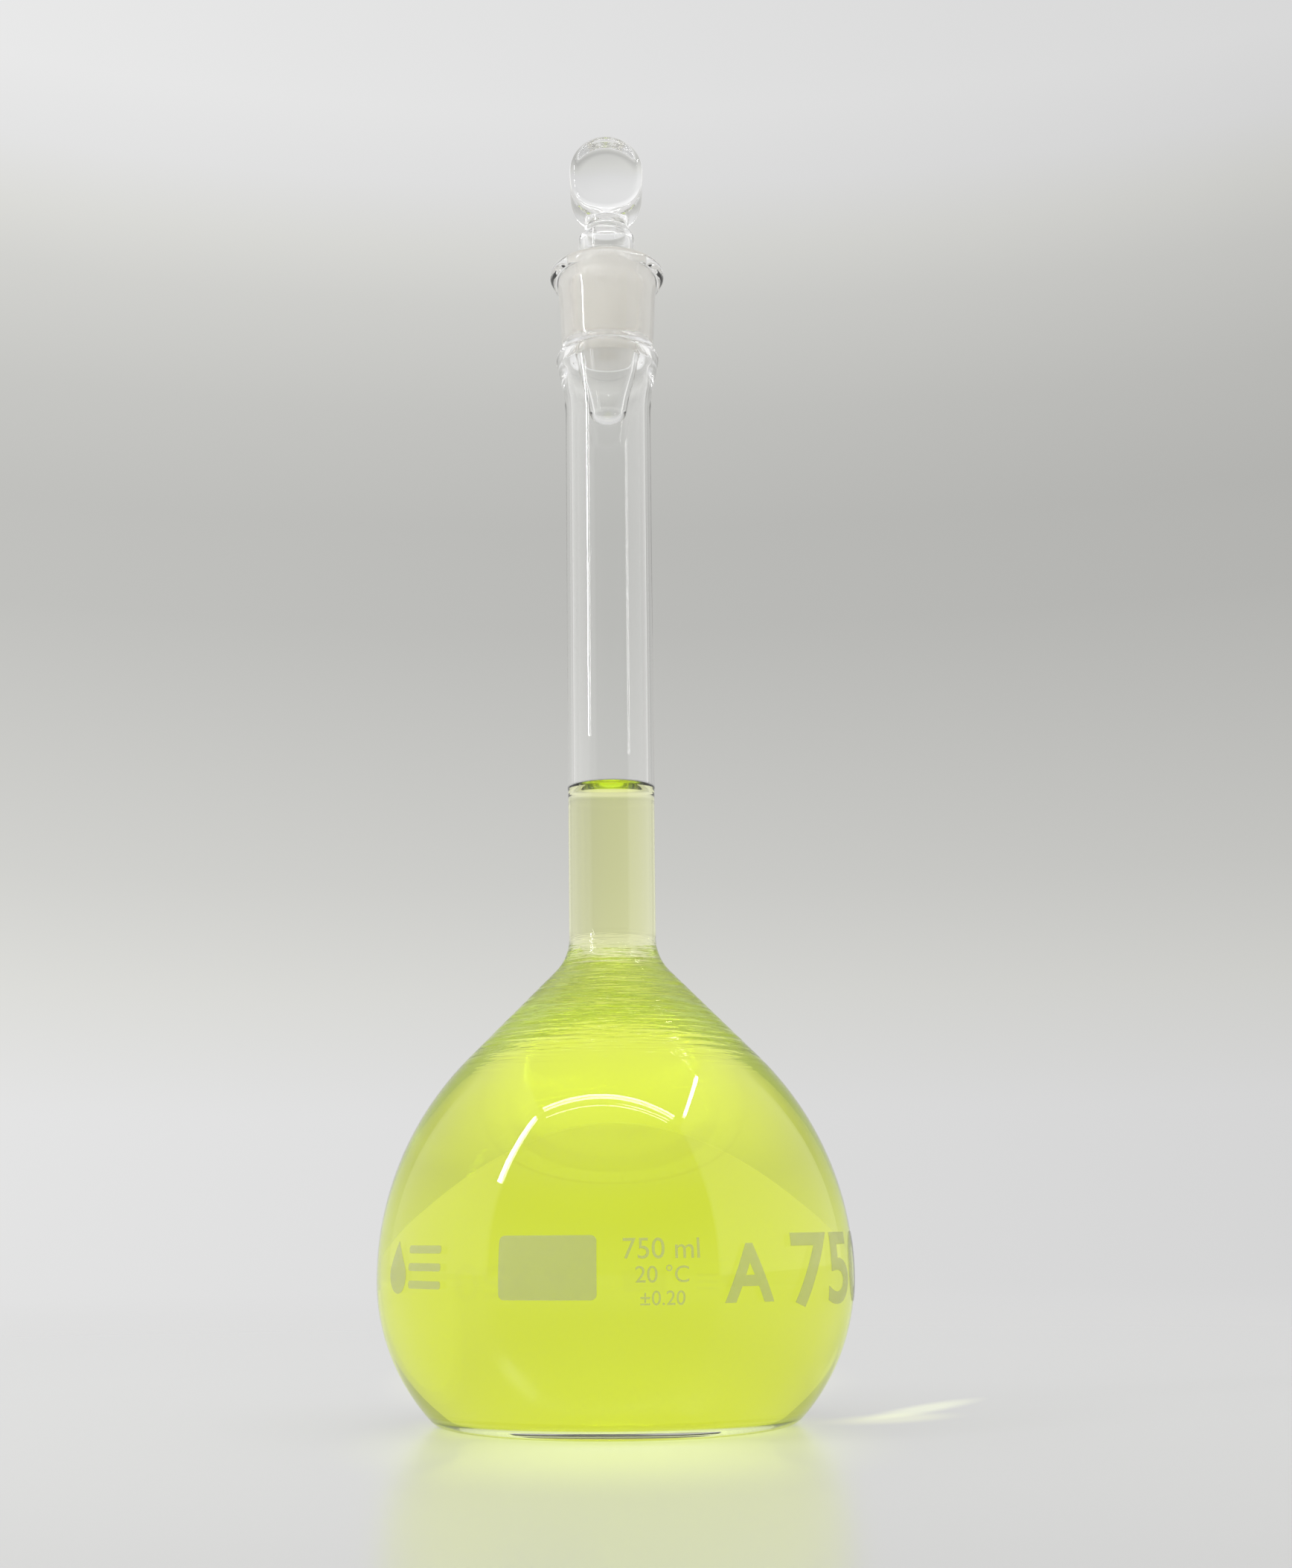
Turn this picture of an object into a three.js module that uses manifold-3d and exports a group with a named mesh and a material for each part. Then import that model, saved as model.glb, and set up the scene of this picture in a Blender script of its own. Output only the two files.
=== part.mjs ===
// A 750 ml volumetric flask with a hollow ground stopper, filled to its mark.
// Millimetres, +Z up. The origin is on the axis at the surface the flask stands on,
// and the printed front faces -Y.

import * as THREE from 'three';
import { mergeVertices } from 'three/addons/utils/BufferGeometryUtils.js';
import Module from 'manifold-3d';

const wasm = await Module();
wasm.setup();

// ---- Driving dimensions -------------------------------------------------

// Bulb: a lower and an upper arc that meet upright at the widest place,
// then a straight cone and a fillet into the neck.
const BULB_RADIUS = 58.1;
const WIDEST_HEIGHT = 35.3;
const LOWER_ARC = 50.1;
const UPPER_ARC = 76;
const CONE_ANGLE = Math.PI / 4;
const CONE_FILLET = 11.7;
const FOOT_FILLET = 6;
const BULB_WALL = 1.65;
const FLOOR_GLASS = 3.0;
const FLOOR_FILLET = 6;
const STANDING_RING_INNER = 32;
const PUNT_RADIUS = 25;
const PUNT_HEIGHT = 1.1;

// Neck
const NECK_RADIUS = 10.8;
const NECK_WALL = 1.5;
const NECK_FOOT = 121;
const NECK_TOP = 254;
const MARK_HEIGHT = 157;

// Ground socket: a flare out of the neck, a rounded bulge, a waist, then the tapered
// seat inside and the beaded lip outside.
const FLARE_TOP = 261.5;
const FLARE_STEP = 0.9;
const FLARE_BORE_STEP = 0.6;
const BULGE_RADIUS = 13.1;
const BULGE_HEIGHT = 267.8;
const BULGE_ROUND = 3;
const BULGE_BORE = 11.2;
const BULGE_BORE_ROUND = 2.6;
const WAIST_RADIUS = 11.7;
const WAIST_HEIGHT = 272.4;
const SOCKET_RADIUS_TOP = 12.45;
const SOCKET_SHOULDER = 286.8;
const SHOULDER_STEP = 0.85;
const SHOULDER_RISE = 0.6;
const LIP_RADIUS = 14.6;
const LIP_ROUND = 2.2;
const SOCKET_TOP = 292.6;
const SEAT_FOOT = 273;
const SEAT_RADIUS_TOP = 9.5;
const TAPER = 0.05;

// Stopper
const SEAT_GAP = 0.3;
const STOPPER_WALL = 1.3;
const TAIL_FOOT = 251.3;
const TAIL_RADIUS = 4.7;
const TAIL_ROUND = 3;
const TAIL_FLARE = [[5.6, 258.9], [7.4, 265]];
const PLUG_TOP = 294;
const PLUG_SHOULDER_RISE = 1.6;
const COLLAR_RADIUS = 7.1;
const COLLAR_SEAM = 297;
const COLLAR_TOP = 301.6;
const HEAD_NECK_RADIUS = 5.7;
const HEAD_NECK_FOOT = 302.8;
const HEAD_NECK_FILLET = 0.4;
const HEAD_NECK_TOP = 306.5;
const HEAD_CENTRE = 316.6;
const HEAD_RADIUS = 9.4;
const HEAD_DROP = 11.6;
const HEAD_FULLNESS = 2.6;
const HEAD_THICKNESS = 8;
const HEAD_BEVEL = 2;
const HOLLOW_TOP = 306.8;

// Solution
const FILL_GAP = 0.3;
const MENISCUS_CLIMB = 2;

// Enamel: the neck ring and the prints on the bulb, placed by their angle from the front.
const ENAMEL_GAP = 0.3;
const ENAMEL_THICKNESS = 0.25;
const RING_WIDTH = 0.8;
const PRINT_HEIGHT = 39;
const PRINT_CORNER = 1.4;
const PRINT_BAND_BELOW = 25;
const PRINT_BAND_ABOVE = 35;
const PRINTS = [
  { name: 'maker_mark', angle: -53, width: 26, height: 13 },
  { name: 'writing_patch', angle: -15.2, width: 22.6, height: 14.1 },
  { name: 'volume_text', angle: 10.2, width: 19, height: 16.8 },
  { name: 'class_mark', angle: 31, width: 13.6, height: 16 },
  { name: 'capacity_numerals', angle: 64, width: 47, height: 18 },
];

const BULB_SEGMENTS = 48;
const NECK_SEGMENTS = 36;
const HEAD_POINTS = 48;

// ---- Outlines: lists of Vector2 holding radius and height -----------------

// An arc about a centre, turning from one angle to another. A stretch makes it an ellipse.
function arc(centre, radius, from, to, steps, stretch = 1) {
  const points = [];
  for (let i = 0; i <= steps; i += 1) {
    const angle = from + ((to - from) * i) / steps;
    const x = centre.x + radius * Math.cos(angle);
    points.push(new THREE.Vector2(x, centre.y + radius * stretch * Math.sin(angle)));
  }
  return points;
}

const at = (radius, height) => new THREE.Vector2(radius, height);

// The bulb's side from its foot up to the neck, moved inwards by `inset`.
function bulbSide(inset, floor, footFillet, neckRadius, steps) {
  const lower = at(BULB_RADIUS - LOWER_ARC, WIDEST_HEIGHT);
  const lowerRadius = LOWER_ARC - inset;
  const footHeight = floor + footFillet;
  const reach = lowerRadius - footFillet;
  const drop = WIDEST_HEIGHT - footHeight;
  const foot = at(lower.x + Math.sqrt(reach * reach - drop * drop), footHeight);
  const footAngle = -Math.asin(drop / reach);

  const upper = at(BULB_RADIUS - UPPER_ARC, WIDEST_HEIGHT);
  const upperRadius = UPPER_ARC - inset;
  const filletRadius = CONE_FILLET + inset;
  const fillet = at(neckRadius + filletRadius, 0);
  const acrossCone = (upperRadius + filletRadius) / Math.cos(CONE_ANGLE);
  fillet.y = upper.y + acrossCone - (fillet.x - upper.x) * Math.tan(CONE_ANGLE);

  return [
    ...arc(foot, footFillet, -Math.PI / 2, footAngle, 4),
    ...arc(lower, lowerRadius, footAngle, 0, steps).slice(1),
    ...arc(upper, upperRadius, 0, CONE_ANGLE, steps).slice(1),
    ...arc(fillet, filletRadius, Math.PI + CONE_ANGLE, Math.PI, 5),
  ];
}

const seatRadius = (height) => SEAT_RADIUS_TOP - (SOCKET_TOP - height) * TAPER;

// ---- Solids ---------------------------------------------------------------

// A solid of revolution about Z. The outline runs up the outside, then back down the inside.
function turned(outline, segments) {
  const geometry = new THREE.LatheGeometry(outline, segments);
  geometry.rotateX(Math.PI / 2);
  return geometry;
}

// An outline closed on itself, for a solid with a hole along its axis.
const closed = (outline) => [...outline, outline[0].clone()];

function toSolid(geometry) {
  const bare = geometry.clone();
  bare.deleteAttribute('normal');
  bare.deleteAttribute('uv');
  const merged = mergeVertices(bare);
  const index = merged.index.array;
  const triangles = [];
  for (let i = 0; i < index.length; i += 3) {
    const [a, b, c] = [index[i], index[i + 1], index[i + 2]];
    if (a !== b && b !== c && c !== a) triangles.push(a, b, c);
  }
  return new wasm.Manifold(new wasm.Mesh({
    numProp: 3,
    vertProperties: new Float32Array(merged.attributes.position.array),
    triVerts: new Uint32Array(triangles),
  }));
}

function toGeometry(solid) {
  const mesh = solid.getMesh();
  const geometry = new THREE.BufferGeometry();
  geometry.setAttribute('position', new THREE.BufferAttribute(mesh.vertProperties, 3));
  geometry.setIndex(new THREE.BufferAttribute(mesh.triVerts, 1));
  geometry.computeVertexNormals();
  return geometry;
}

// ---- Flask ------------------------------------------------------------------

function bulb() {
  const outside = [
    at(0, PUNT_HEIGHT),
    at(PUNT_RADIUS, PUNT_HEIGHT),
    at(STANDING_RING_INNER, 0),
    ...bulbSide(0, 0, FOOT_FILLET, NECK_RADIUS, 7),
    at(NECK_RADIUS, NECK_FOOT),
  ];
  const bore = NECK_RADIUS - NECK_WALL;
  const inside = [
    at(0, FLOOR_GLASS),
    ...bulbSide(BULB_WALL, FLOOR_GLASS, FLOOR_FILLET, bore, 6),
    at(bore, NECK_FOOT),
  ];
  return turned([...outside, ...inside.reverse()], BULB_SEGMENTS);
}

function neckTube() {
  const bore = NECK_RADIUS - NECK_WALL;
  return turned(closed([
    at(NECK_RADIUS, NECK_FOOT),
    at(NECK_RADIUS, NECK_TOP),
    at(bore, NECK_TOP),
    at(bore, NECK_FOOT),
  ]), NECK_SEGMENTS);
}

function groundSocket() {
  const lip = at(LIP_RADIUS - LIP_ROUND, SOCKET_TOP - LIP_ROUND);
  const bulge = at(BULGE_RADIUS - BULGE_ROUND, BULGE_HEIGHT);
  const outside = [
    at(NECK_RADIUS, NECK_TOP),
    at(NECK_RADIUS + FLARE_STEP, FLARE_TOP),
    ...arc(bulge, BULGE_ROUND, -Math.PI / 5, Math.PI / 4, 4),
    at(WAIST_RADIUS, WAIST_HEIGHT),
    at(SOCKET_RADIUS_TOP, SOCKET_SHOULDER),
    at(SOCKET_RADIUS_TOP + SHOULDER_STEP, SOCKET_SHOULDER + SHOULDER_RISE),
    ...arc(lip, LIP_ROUND, -Math.PI / 6, Math.PI / 2, 4),
  ];
  const bore = NECK_RADIUS - NECK_WALL;
  const bulgeBore = at(BULGE_BORE - BULGE_BORE_ROUND, BULGE_HEIGHT);
  const inside = [
    at(bore, NECK_TOP),
    at(bore + FLARE_BORE_STEP, FLARE_TOP),
    ...arc(bulgeBore, BULGE_BORE_ROUND, -Math.PI / 5, Math.PI / 3, 4),
    at(seatRadius(SEAT_FOOT), SEAT_FOOT),
    at(seatRadius(SOCKET_TOP), SOCKET_TOP),
  ];
  return turned(closed([...outside, ...inside.reverse()]), NECK_SEGMENTS);
}

// ---- Stopper ------------------------------------------------------------------

function stopperPlug() {
  const tail = at(0, TAIL_FOOT + TAIL_ROUND);
  const plugRadius = (height) => seatRadius(height) - SEAT_GAP;
  const outside = [
    ...arc(tail, TAIL_RADIUS, -Math.PI / 2, 0, 5, TAIL_ROUND / TAIL_RADIUS),
    ...TAIL_FLARE.map(([radius, height]) => at(radius, height)),
    at(plugRadius(SEAT_FOOT), SEAT_FOOT),
    at(plugRadius(PLUG_TOP), PLUG_TOP),
    at(COLLAR_RADIUS, PLUG_TOP + PLUG_SHOULDER_RISE),
    at(COLLAR_RADIUS, COLLAR_SEAM),
  ];
  const hollowRadius = TAIL_RADIUS - STOPPER_WALL;
  const hollowStretch = (TAIL_ROUND - STOPPER_WALL) / hollowRadius;
  const inside = [
    ...arc(tail, hollowRadius, -Math.PI / 2, 0, 4, hollowStretch),
    ...TAIL_FLARE.map(([radius, height]) => at(radius - STOPPER_WALL, height)),
    at(plugRadius(SEAT_FOOT) - STOPPER_WALL, SEAT_FOOT),
    at(plugRadius(PLUG_TOP) - STOPPER_WALL, PLUG_TOP - STOPPER_WALL),
    at(COLLAR_RADIUS - STOPPER_WALL, COLLAR_SEAM),
  ];
  return turned([...outside, ...inside.reverse()], NECK_SEGMENTS);
}

// The head's outline, less its bevel: a half circle above, and below it a fuller,
// deeper half (a superellipse) that runs down into the neck.
function headOutline(points) {
  const radius = HEAD_RADIUS - HEAD_BEVEL;
  const drop = HEAD_DROP - HEAD_BEVEL;
  const outline = [];
  for (let i = 0; i < points; i += 1) {
    const angle = (2 * Math.PI * i) / points;
    const [across, up] = [Math.cos(angle), Math.sin(angle)];
    const power = up > 0 ? 1 : 2 / HEAD_FULLNESS;
    const x = radius * Math.sign(across) * Math.abs(across) ** power;
    const y = (up > 0 ? radius : drop) * Math.sign(up) * Math.abs(up) ** power;
    outline.push(new THREE.Vector2(x, HEAD_CENTRE + y));
  }
  return outline;
}

// The thick flat head stands on edge across the axis, with its faces to the front and back.
function headDisc() {
  const flat = HEAD_THICKNESS - 2 * HEAD_BEVEL;
  const geometry = new THREE.ExtrudeGeometry(new THREE.Shape(headOutline(HEAD_POINTS)), {
    depth: flat,
    bevelSize: HEAD_BEVEL,
    bevelThickness: HEAD_BEVEL,
    bevelSegments: 3,
  });
  geometry.translate(0, 0, -flat / 2);
  geometry.rotateX(Math.PI / 2);
  return geometry;
}

function stopperHead() {
  const stem = turned([
    at(0, COLLAR_SEAM),
    at(COLLAR_RADIUS, COLLAR_SEAM),
    at(COLLAR_RADIUS, COLLAR_TOP),
    at(HEAD_NECK_RADIUS + HEAD_NECK_FILLET, HEAD_NECK_FOOT),
    at(HEAD_NECK_RADIUS, HEAD_NECK_FOOT + 2 * HEAD_NECK_FILLET),
    at(HEAD_NECK_RADIUS, HEAD_NECK_TOP),
    at(0, HEAD_CENTRE),
  ], NECK_SEGMENTS);
  const hollowRadius = COLLAR_RADIUS - STOPPER_WALL;
  const domeRadius = HEAD_NECK_RADIUS - STOPPER_WALL;
  const hollow = turned([
    at(0, COLLAR_SEAM - STOPPER_WALL),
    at(hollowRadius, COLLAR_SEAM - STOPPER_WALL),
    at(hollowRadius, COLLAR_TOP - STOPPER_WALL),
    at(domeRadius, HEAD_NECK_FOOT),
    ...arc(at(0, HOLLOW_TOP - domeRadius), domeRadius, 0, Math.PI / 2, 4),
  ], NECK_SEGMENTS);
  return toGeometry(toSolid(stem).add(toSolid(headDisc())).subtract(toSolid(hollow)));
}

// ---- Contents and enamel --------------------------------------------------------

function solution() {
  const inset = BULB_WALL + FILL_GAP;
  const radius = NECK_RADIUS - NECK_WALL - FILL_GAP;
  const floor = FLOOR_GLASS + FILL_GAP;
  const bowl = (radius * radius + MENISCUS_CLIMB * MENISCUS_CLIMB) / (2 * MENISCUS_CLIMB);
  const bowlAngle = Math.asin(radius / bowl);
  const meniscus = arc(at(0, MARK_HEIGHT + bowl), bowl, bowlAngle - Math.PI / 2, -Math.PI / 2, 4);
  return turned([
    at(0, floor),
    ...bulbSide(inset, floor, FLOOR_FILLET, radius, 6),
    ...meniscus,
  ], BULB_SEGMENTS);
}

function graduationRing() {
  const inner = NECK_RADIUS + ENAMEL_GAP;
  const outer = inner + ENAMEL_THICKNESS;
  return turned(closed([
    at(outer, MARK_HEIGHT - RING_WIDTH / 2),
    at(outer, MARK_HEIGHT + RING_WIDTH / 2),
    at(inner, MARK_HEIGHT + RING_WIDTH / 2),
    at(inner, MARK_HEIGHT - RING_WIDTH / 2),
  ]), NECK_SEGMENTS);
}

// A thin band of revolution that follows the outside of the bulb where it is printed.
function printBand() {
  const skin = (inset) => bulbSide(inset, 0, FOOT_FILLET, NECK_RADIUS, 7)
    .filter(({ y }) => y > WIDEST_HEIGHT - PRINT_BAND_BELOW && y < WIDEST_HEIGHT + PRINT_BAND_ABOVE);
  const outside = skin(-ENAMEL_GAP - ENAMEL_THICKNESS);
  const inside = skin(-ENAMEL_GAP);
  return toSolid(turned(closed([...outside, ...inside.reverse()]), BULB_SEGMENTS));
}

function roundedRectangle(width, height, corner) {
  const [x, y] = [width / 2, height / 2];
  const shape = new THREE.Shape();
  shape.absarc(x - corner, y - corner, corner, 0, Math.PI / 2);
  shape.absarc(corner - x, y - corner, corner, Math.PI / 2, Math.PI);
  shape.absarc(corner - x, corner - y, corner, Math.PI, 1.5 * Math.PI);
  shape.absarc(x - corner, corner - y, corner, 1.5 * Math.PI, 2 * Math.PI);
  return shape;
}

// One print: the piece of the band that a rounded block cuts out, pushed straight outwards.
// Its width is measured round the bulb, so the block itself is as wide as the chord.
function print(band, { angle, width, height }) {
  const chord = 2 * BULB_RADIUS * Math.sin(width / 2 / BULB_RADIUS);
  const block = new THREE.ExtrudeGeometry(roundedRectangle(chord, height, PRINT_CORNER), {
    depth: BULB_RADIUS,
    curveSegments: 3,
    bevelEnabled: false,
  });
  block.translate(0, PRINT_HEIGHT, BULB_RADIUS / 4);
  block.rotateX(Math.PI / 2);
  block.rotateZ(THREE.MathUtils.degToRad(angle));
  return toGeometry(band.intersect(toSolid(block)));
}

// ---- Materials --------------------------------------------------------------------

const CLEAR_GLASS = { color: 0xdfe3e2, roughness: 0.04, metalness: 0, transparent: true, opacity: 0.35 };
const GROUND_GLASS = { color: 0xd8d4cc, roughness: 0.55, metalness: 0, transparent: true, opacity: 0.6 };
const YELLOW_SOLUTION = { color: 0xd0de42, roughness: 0.05, metalness: 0, transparent: true, opacity: 0.85 };
const ENAMEL = { color: 0xcfd3c8, roughness: 0.5, metalness: 0 };

// ---- Scene ----------------------------------------------------------------------

const flask = new THREE.Group();

function addPiece(name, geometry, finish) {
  const mesh = new THREE.Mesh(geometry, new THREE.MeshStandardMaterial(finish));
  mesh.name = name;
  flask.add(mesh);
}

addPiece('bulb', bulb(), CLEAR_GLASS);
addPiece('neck_tube', neckTube(), CLEAR_GLASS);
addPiece('ground_socket', groundSocket(), GROUND_GLASS);
addPiece('stopper_plug', stopperPlug(), GROUND_GLASS);
addPiece('stopper_head', stopperHead(), CLEAR_GLASS);
addPiece('solution', solution(), YELLOW_SOLUTION);
addPiece('graduation_ring', graduationRing(), ENAMEL);

const band = printBand();
for (const place of PRINTS) {
  addPiece(place.name, print(band, place), ENAMEL);
}

export default flask;
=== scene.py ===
import math

import bmesh
import bpy
from mathutils import Matrix, Vector


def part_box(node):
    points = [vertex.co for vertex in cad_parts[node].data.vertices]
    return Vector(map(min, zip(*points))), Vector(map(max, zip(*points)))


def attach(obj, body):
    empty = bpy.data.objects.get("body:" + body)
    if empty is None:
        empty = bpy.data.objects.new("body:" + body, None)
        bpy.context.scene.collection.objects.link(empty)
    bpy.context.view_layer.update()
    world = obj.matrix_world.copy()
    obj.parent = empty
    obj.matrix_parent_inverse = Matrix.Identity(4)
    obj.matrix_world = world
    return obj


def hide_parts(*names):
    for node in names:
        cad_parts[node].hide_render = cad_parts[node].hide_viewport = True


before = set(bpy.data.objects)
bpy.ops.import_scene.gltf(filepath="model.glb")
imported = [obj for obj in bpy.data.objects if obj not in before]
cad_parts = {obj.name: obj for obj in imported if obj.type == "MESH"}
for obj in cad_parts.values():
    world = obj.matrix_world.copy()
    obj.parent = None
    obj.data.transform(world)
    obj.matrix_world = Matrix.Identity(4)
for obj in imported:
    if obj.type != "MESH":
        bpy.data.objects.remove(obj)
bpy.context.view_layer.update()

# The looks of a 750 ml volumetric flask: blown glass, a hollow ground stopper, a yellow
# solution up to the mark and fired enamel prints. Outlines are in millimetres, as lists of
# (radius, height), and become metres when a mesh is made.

MM = 0.001


def top(node):
    """How high a CAD node reaches, in millimetres."""
    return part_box(node)[1].z / MM


def foot(node):
    """How low a CAD node reaches, in millimetres."""
    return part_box(node)[0].z / MM


def reach(node):
    """How far a CAD node reaches from the axis along X, in millimetres."""
    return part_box(node)[1].x / MM


# ---- Driving dimensions -------------------------------------------------------

# Bulb
BULB_RADIUS = reach("bulb")
WIDEST_HEIGHT = 35.3
LOWER_ARC = 50.1
UPPER_ARC = 76
CONE_ANGLE = 45
CONE_FILLET = 11.7
INNER_CONE_FILLET = 2.4
WIDEST_EASE = 9
FOOT_FILLET = 6
BULB_WALL = 1.65
FLOOR_GLASS = 3.0
FLOOR_FILLET = 6
PUNT_RADIUS = 33
PUNT_HEIGHT = 1.1

# Neck
NECK_RADIUS = reach("neck_tube")
NECK_BORE = NECK_RADIUS - 1.5
NECK_TOP = top("neck_tube")

# Ground socket: it flares out of the neck by the steps given for its outside and its bore,
# bulges, then runs up its side to the beaded lip.
SOCKET_FLARE = [(0.25, NECK_TOP + 3.5), (0.9, 261.5), (1.5, 264)]
SOCKET_BORE_FLARE = [(0.25, 258), (0.9, 261.5)]
BULGE_HEIGHT = 267.8
BULGE_RADIUS = 13.1
BULGE_ROUND = 3
BULGE_BORE = 11.2
BULGE_BORE_ROUND = 2.6
SOCKET_SIDE = [(11.72, 271), (11.7, 272.4), (12.05, 279.4), (12.45, 286.2), (12.75, 286.9),
               (13.3, 287.5)]
SOCKET_TOP = top("ground_socket")
LIP_RADIUS = reach("ground_socket")
LIP_ROUND = 2.2
LIP_INNER_ROUND = 0.7
SEAT_FOOT = 273
SEAT_FOOT_STEP = 0.3
SEAT_FOOT_DROP = 0.8
SEAT_RADIUS_TOP = 9.5
TAPER = 0.05

# Stopper
SEAT_GAP = 0.3
STOPPER_WALL = 1.3
TAIL_FOOT = foot("stopper_plug")
TAIL_RADIUS = 4.7
TAIL_ROUND = 3
TAIL_FLARE = [(5.05, 256.4), (5.6, 258.9), (6.5, 262), (7.4, 265), (7.9, 267.6)]
PLUG_GROUND_FOOT = 268
PLUG_GROUND_RADIUS = 7.5
GROUND_MARGIN = 0.8
PLUG_TOP = 294
PLUG_EDGE = 293.8
PLUG_EDGE_ROUND = 0.8
COLLAR_RADIUS = 7.1
COLLAR_FOOT = 296
COLLAR_FILLET = 0.6
COLLAR_EDGE = 300.6
COLLAR_ROUND = 1
HEAD_NECK_RADIUS = 5.7
HEAD_NECK_FOOT = 303.2
HEAD_NECK_FILLET = 1
HEAD_NECK_TOP = 306.5
HOLLOW_RADIUS = 7.8
HOLLOW_EDGE = 291.6
HOLLOW_ROUND = 1.4
HOLLOW_COLLAR_FOOT = 294.5
HOLLOW_COLLAR_EDGE = 299.6
HOLLOW_TOP = 306.8

# Stopper head: a round disc above its centre and a squarer, deeper one below it. A known
# fault: the half thickness read here is that of the node's widest part, the collar, so
# the disc is 14.2 mm thick, where the CAD's is 8 mm.
HEAD_CENTRE = 316.6
HEAD_RADIUS = top("stopper_head") - HEAD_CENTRE
HEAD_DROP = 11.6
HEAD_HALF_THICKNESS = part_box("stopper_head")[1].y / MM
HEAD_ROUNDNESS = 2.0
HEAD_FULLNESS = 2.6
HEAD_FLAT = 0.8
HEAD_RIM_DEPTH = 2.2
HEAD_CROWN = 0.7
HEAD_FILLET = 1.2
STEM_DOME = 4.5
STEM_SINK = 3

# Contents
MARK_HEIGHT = (top("graduation_ring") + foot("graduation_ring")) / 2
FILL_HEIGHT = MARK_HEIGHT - 2.4
MENISCUS_CLIMB = 2.6
CAPILLARY_LENGTH = 2.5
WALL_OVERLAP = 0.06

# Enamel
ENAMEL_LIFT = 0.03
ENAMEL_THICKNESS = 0.12
RING_WIDTH = 0.4
PRINT_HEIGHT = 39
CAPITAL_SHARE = 0.73  # a capital's height as a share of the typeface's size
LETTER_CURVE_STEPS = 6
MERGE_DISTANCE = 0.002
BEND_STEP = 1.0
RISE_STEP = 2.0

# Mesh fineness: steps round the axis, and the longest stretch up an outline
FLASK_STEPS = 160
FLASK_STRETCH = 2.2
STOPPER_STEPS = 128
STOPPER_STRETCH = 1.2
HEAD_STEPS = 72
RING_CLEARANCE = 0.05
MENISCUS_STEPS = 30
HALVINGS = 40


# ---- Outlines -----------------------------------------------------------------

def arc(centre, radius, start, end, steps, stretch=1.0):
    """Points on an arc, by its angles in degrees. A stretch makes it an ellipse."""
    points = []
    for i in range(steps + 1):
        angle = math.radians(start + (end - start) * i / steps)
        points.append((centre[0] + radius * math.cos(angle),
                       centre[1] + radius * stretch * math.sin(angle)))
    return points


def eased(point, inset):
    """Near the widest height, a point moves to a mix of the two arcs, so that they join
    without a line."""
    up = point[1] - WIDEST_HEIGHT
    if abs(up) >= WIDEST_EASE:
        return point
    low, high = [BULB_RADIUS - size + math.sqrt((size - inset) ** 2 - up ** 2)
                 for size in (LOWER_ARC, UPPER_ARC)]
    t = (up / WIDEST_EASE + 1) / 2
    return (low + (high - low) * t * t * (3 - 2 * t), point[1])


def bulb_side(inset, floor, foot_fillet, neck_radius, cone_fillet=CONE_FILLET):
    """The bulb's side from its foot up to the neck, moved inwards by inset."""
    lower = (BULB_RADIUS - LOWER_ARC, WIDEST_HEIGHT)
    lower_radius = LOWER_ARC - inset
    reach_in = lower_radius - foot_fillet
    drop = WIDEST_HEIGHT - floor - foot_fillet
    foot_centre = (lower[0] + math.sqrt(reach_in ** 2 - drop ** 2), floor + foot_fillet)
    foot_angle = -math.degrees(math.asin(drop / reach_in))

    upper = (BULB_RADIUS - UPPER_ARC, WIDEST_HEIGHT)
    upper_radius = UPPER_ARC - inset
    cone_radius = cone_fillet + inset
    slope = math.radians(CONE_ANGLE)
    cone_x = neck_radius + cone_radius
    cone_y = upper[1] + (upper_radius + cone_radius) / math.cos(slope)
    cone_y -= (cone_x - upper[0]) * math.tan(slope)
    outline = (arc(foot_centre, foot_fillet, -90, foot_angle, 10)
               + arc(lower, lower_radius, foot_angle, 0, 30)[1:]
               + arc(upper, upper_radius, 0, CONE_ANGLE, 40)[1:]
               + arc((cone_x, cone_y), cone_radius, 180 + CONE_ANGLE, 180, 14))
    return [eased(point, inset) for point in outline]


def dished(radius, edge, rise, floor):
    """A shallow dome over the axis, from the axis out to the edge of a flat ring."""
    points = []
    steps = 14
    for i in range(steps + 1):
        r = radius * i / steps
        points.append((r, floor + rise * (1 + math.cos(math.pi * r / radius)) / 2))
    return points + [(edge, floor)]


def shoulder(radius, height, size, steps):
    """A round edge that turns inwards from a radius and a height."""
    return arc((radius - size, height), size, 0, 60, steps)


def fillet(radius, height, size, steps):
    """A hollow corner that ends upright at a radius and a height."""
    return arc((radius + size, height), size, 240, 180, steps)


def divided(outline, longest):
    """The outline with points added, so that no stretch is longer than the longest."""
    points = [outline[0]]
    for start, end in zip(outline, outline[1:]):
        parts = max(1, math.ceil(math.dist(start, end) / longest))
        for i in range(1, parts + 1):
            t = i / parts
            points.append((start[0] + (end[0] - start[0]) * t,
                           start[1] + (end[1] - start[1]) * t))
    return points


def seat_radius(height):
    """The ground seat's radius: a slight cone, widest at the lip."""
    return SEAT_RADIUS_TOP - (SOCKET_TOP - height) * TAPER


# ---- Meshes -------------------------------------------------------------------

def new_object(name, verts, faces, finishes, marks=None):
    """A smooth mesh object. marks gives each face's number in the list of finishes."""
    mesh = bpy.data.meshes.new(name)
    mesh.from_pydata(verts, [], faces)
    for finish in finishes:
        mesh.materials.append(finish)
    if marks:
        mesh.polygons.foreach_set("material_index", marks)
    mesh.polygons.foreach_set("use_smooth", [True] * len(faces))
    mesh.validate()
    piece = bpy.data.objects.new(name, mesh)
    bpy.context.scene.collection.objects.link(piece)
    return piece


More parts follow.
